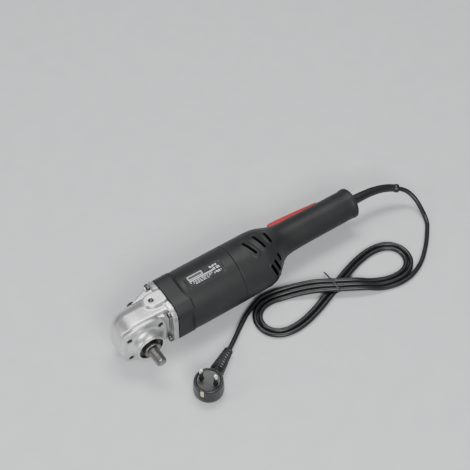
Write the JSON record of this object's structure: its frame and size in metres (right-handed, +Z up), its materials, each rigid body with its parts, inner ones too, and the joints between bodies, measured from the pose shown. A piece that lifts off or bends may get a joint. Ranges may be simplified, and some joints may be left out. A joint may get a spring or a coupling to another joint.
{
  "type": "rotary polisher",
  "caption": "Electric rotary polisher with a cast right-angle gear head, threaded spindle, round motor body, barrel handle with a paddle switch, and a tied mains lead with a plug.",
  "frame": {"origin": "on the surface that the tool lies on, under the middle of the tool's box without the lead and plug", "axes": "+X along the motor axis from the gear head to the handle, -Y the way the spindle points, +Z up to the label side"},
  "size_m": [0.4689, 0.168, 0.0784],
  "materials": {
    "cast": "satin die cast",
    "steel": "ground",
    "dark_steel": "blackened",
    "housing_plastic": "fine satin texture",
    "paddle_plastic": "satin",
    "rubber": "satin",
    "tie_plastic": "satin",
    "brass": "plated",
    "copper": "enamelled copper",
    "lamination": "varnished laminations",
    "carbon": "pressed carbon",
    "label": "printed film"
  },
  "bodies": {
    "root": {"gear_case": "cast", "bearing_cover": "cast", "spindle_ball_bearing": "steel", "lock_spring": "steel", "front_motor_bearing": "steel", "rear_motor_bearing": "steel", "trigger_pin": "steel", "trigger_spring": "steel", "cover_screw_1": "dark_steel", "cover_screw_2": "dark_steel", "cover_screw_3": "dark_steel", "cover_screw_4": "dark_steel", "case_screw_1": "dark_steel", "case_screw_2": "dark_steel", "case_screw_3": "dark_steel", "case_screw_4": "dark_steel", "shell_screw_1": "dark_steel", "shell_screw_2": "dark_steel", "shell_screw_3": "dark_steel", "shell_screw_4": "dark_steel", "motor_housing": "housing_plastic", "rear_shell_upper": "housing_plastic", "rear_shell_lower": "housing_plastic", "air_baffle": "housing_plastic", "switch_body": "housing_plastic", "speed_module": "housing_plastic", "cord_clamp": "housing_plastic", "spindle_seal": "rubber", "cord_guard": "rubber", "cord_lead": "rubber", "cord_hank": "rubber", "cord_tail": "rubber", "plug_relief": "rubber", "plug_body": "rubber", "cord_tie": "tie_plastic", "spindle_bush": "brass", "brush_holder_near": "brass", "brush_holder_far": "brass", "plug_pin_1": "brass", "plug_pin_2": "brass", "plug_earth_clip": "brass", "field_coil_upper": "copper", "field_coil_lower": "copper", "stator_core": "lamination", "carbon_brush_near": "carbon", "carbon_brush_far": "carbon", "rating_label": "label"},
    "rotor": {"armature_shaft": "steel", "armature_core": "lamination", "commutator": "copper", "cooling_fan": "housing_plastic", "bevel_pinion": "steel"},
    "spindle_unit": {"spindle": "steel", "crown_gear": "steel"},
    "paddle": {"trigger_paddle": "paddle_plastic"},
    "lock_button": {"spindle_lock_button": "housing_plastic"},
    "dial": {"speed_dial": "housing_plastic"}
  },
  "joints": [
    {"name": "armature_spin", "type": "hinge", "parent": "root", "child": "rotor", "pos_m": [-0.1095, 0.01245, 0.0386], "axis": [1, 0, 0], "continuous": true},
    {"name": "spindle_spin", "type": "hinge", "parent": "root", "child": "spindle_unit", "pos_m": [-0.1535, 0.01245, 0.0386], "axis": [0, -1, 0], "continuous": true},
    {"name": "paddle_pull", "type": "hinge", "parent": "root", "child": "paddle", "pos_m": [0.1445, 0.03995, 0.0386], "axis": [0, 0, 1], "range_deg": [0, 4], "stiffness_Nm_per_rad": 2.5, "springref_deg": -2.86, "deforming": ["trigger_spring"]},
    {"name": "lock_press", "type": "slide", "parent": "root", "child": "lock_button", "axis": [0, -1, 0], "range_m": [0, 0.0035], "stiffness_N_per_m": 800, "springref_m": -0.002, "deforming": ["lock_spring"]},
    {"name": "dial_turn", "type": "hinge", "parent": "root", "child": "dial", "pos_m": [0.0505, 0.04195, 0.0386], "axis": [0, 0, 1], "range_deg": [0, 270]}
  ],
  "couplings": [
    {"joint": "spindle_spin", "follows": "armature_spin", "ratio": -0.33333}
  ]
}
